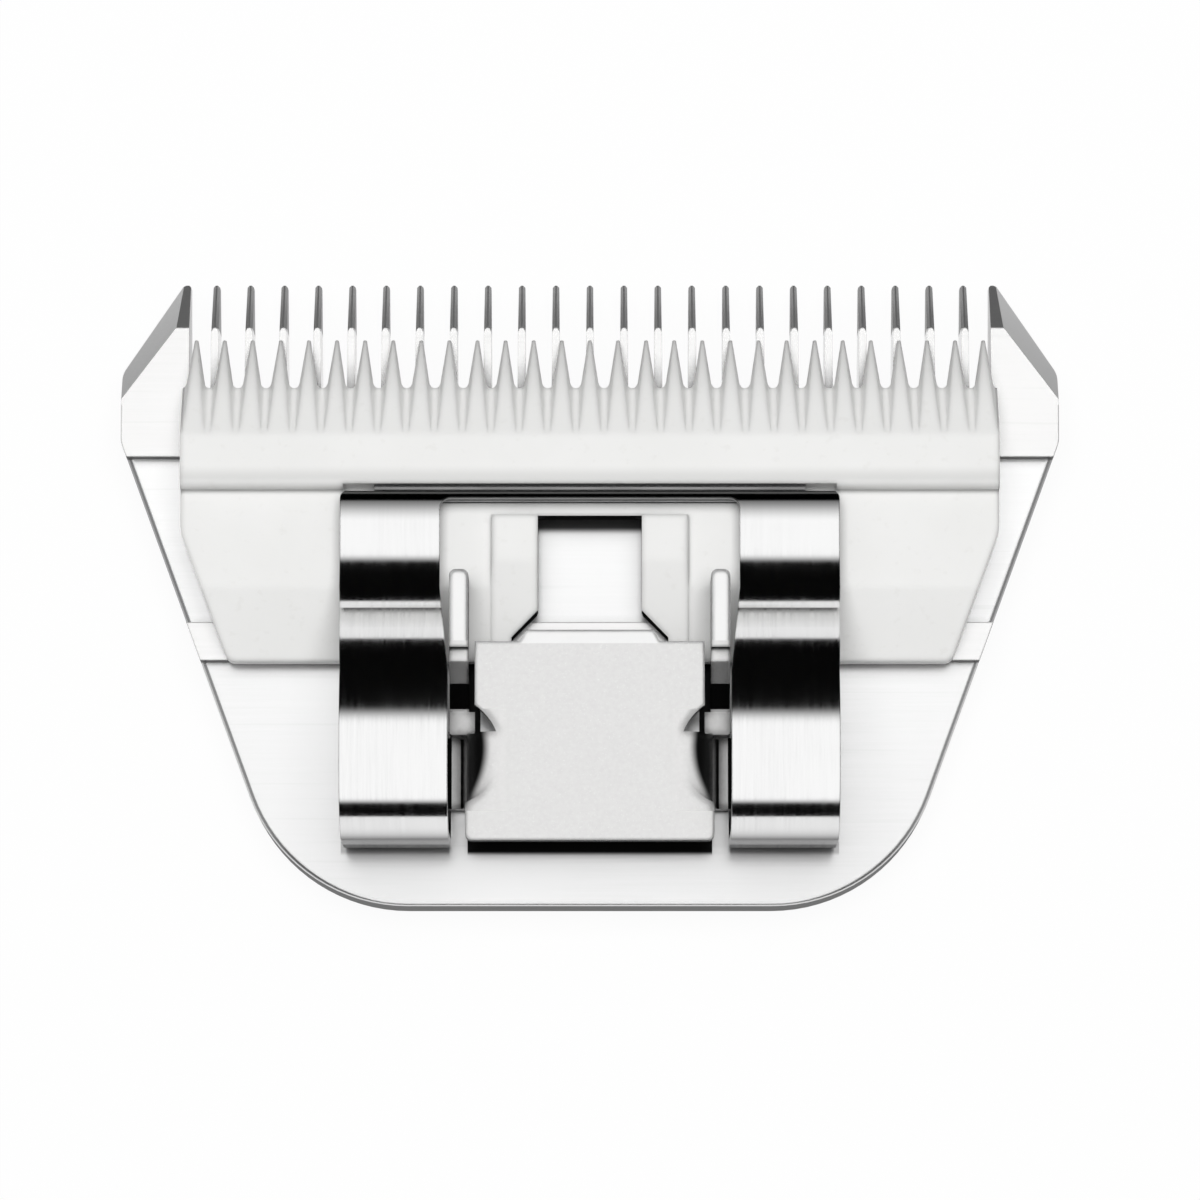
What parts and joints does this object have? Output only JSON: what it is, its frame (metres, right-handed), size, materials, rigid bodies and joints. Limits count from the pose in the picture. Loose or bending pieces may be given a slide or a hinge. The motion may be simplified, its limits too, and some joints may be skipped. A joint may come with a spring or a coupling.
{
  "type": "hair clipper blade",
  "caption": "Detachable clipper blade: toothed steel comb, sliding white ceramic cutter, bowed tension spring and folded socket that slips onto the clipper's hinge tongue.",
  "frame": {"origin": "centre of the footprint, on the comb's skin face", "axes": "+X along the row of teeth, +Y towards the tooth tips, +Z away from the skin"},
  "size_m": [0.052, 0.0348, 0.0143],
  "materials": {
    "comb_steel": "ground and lapped, fine lines along the row",
    "cutter_ceramic": "white zirconia, satin",
    "guide_steel": "plain",
    "spring_steel": "bright plated, fine lengthwise streaks",
    "socket_steel": "plated, finely mottled",
    "screw_steel": "plain"
  },
  "bodies": {
    "blade_base": {"comb": "comb_steel", "tension_spring": "spring_steel", "cutter_guide": "guide_steel", "socket": "socket_steel", "fixing_screws": "screw_steel"},
    "moving_cutter": {"cutter": "cutter_ceramic"}
  },
  "joints": [
    {"name": "cutter_slide", "type": "slide", "parent": "blade_base", "child": "moving_cutter", "axis": [1, 0, 0], "range_m": [-0.0016, 0.0016]}
  ]
}
